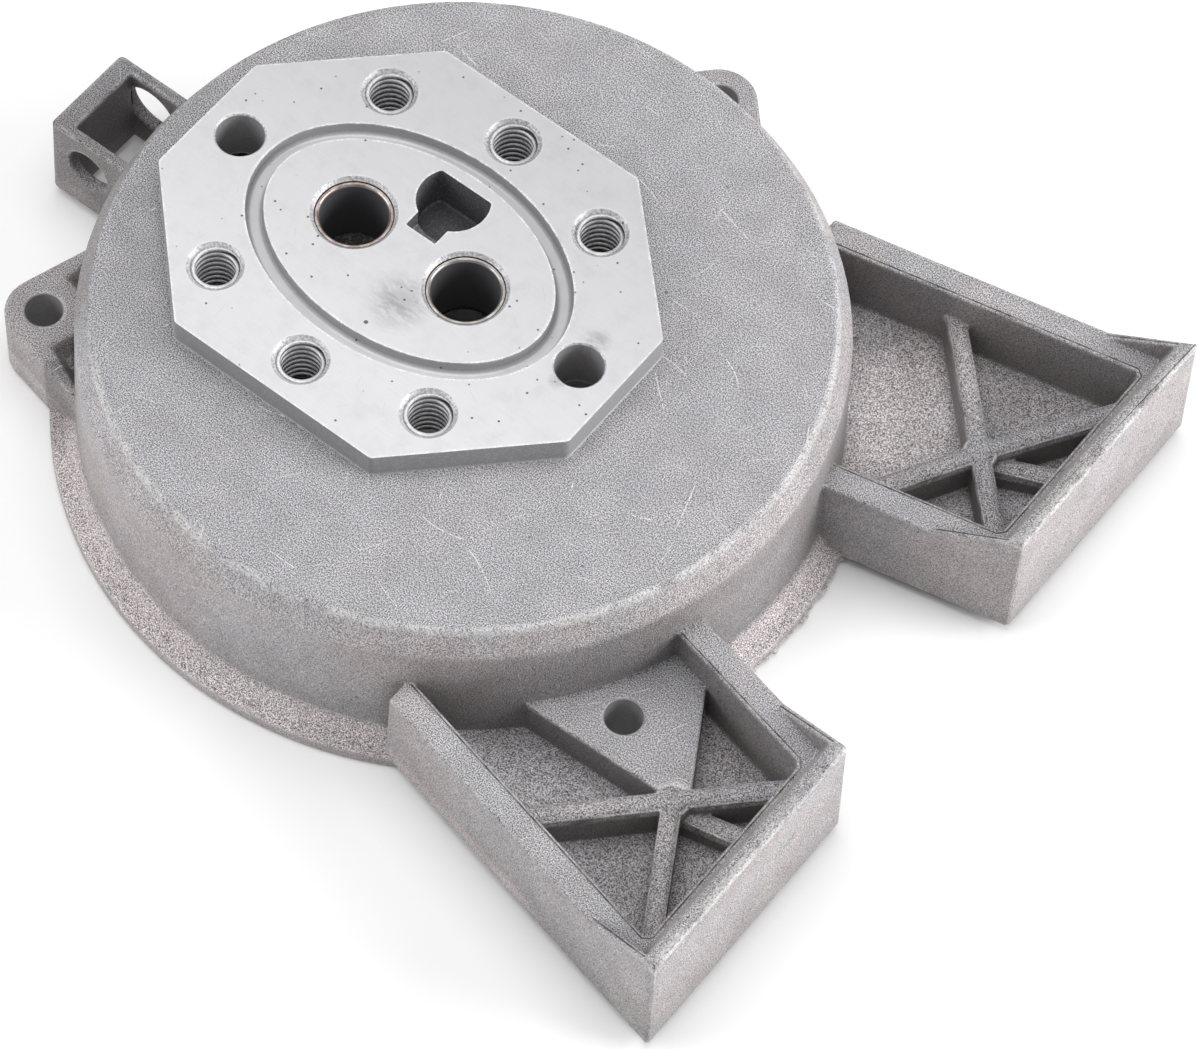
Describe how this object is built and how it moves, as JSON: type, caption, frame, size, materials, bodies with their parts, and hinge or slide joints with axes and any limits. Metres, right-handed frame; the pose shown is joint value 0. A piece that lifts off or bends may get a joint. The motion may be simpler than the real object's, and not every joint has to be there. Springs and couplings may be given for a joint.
{
  "type": "pump bell housing",
  "caption": "Cast bell housing with a flanged rim, a grooved octagonal pump pad, pressed shaft bushes, webbed feet and a box bracket.",
  "frame": {"origin": "on the drive shaft's axis, in the flat underside of the flange", "axes": "+Z out of the pump pad along the drive shaft, +X towards the two feet, +Y towards the foot without the bolt hole"},
  "size_m": [0.2461, 0.208, 0.0517],
  "materials": {
    "cast_aluminium": "shot-blasted casting with machined pad",
    "steel_backed_bush": "worn bearing bush",
    "bronze_bush": "worn bearing bush"
  },
  "bodies": {
    "root": {"bell_housing": "cast_aluminium", "drive_shaft_bush": "steel_backed_bush", "idler_shaft_bush": "bronze_bush"}
  },
  "joints": []
}
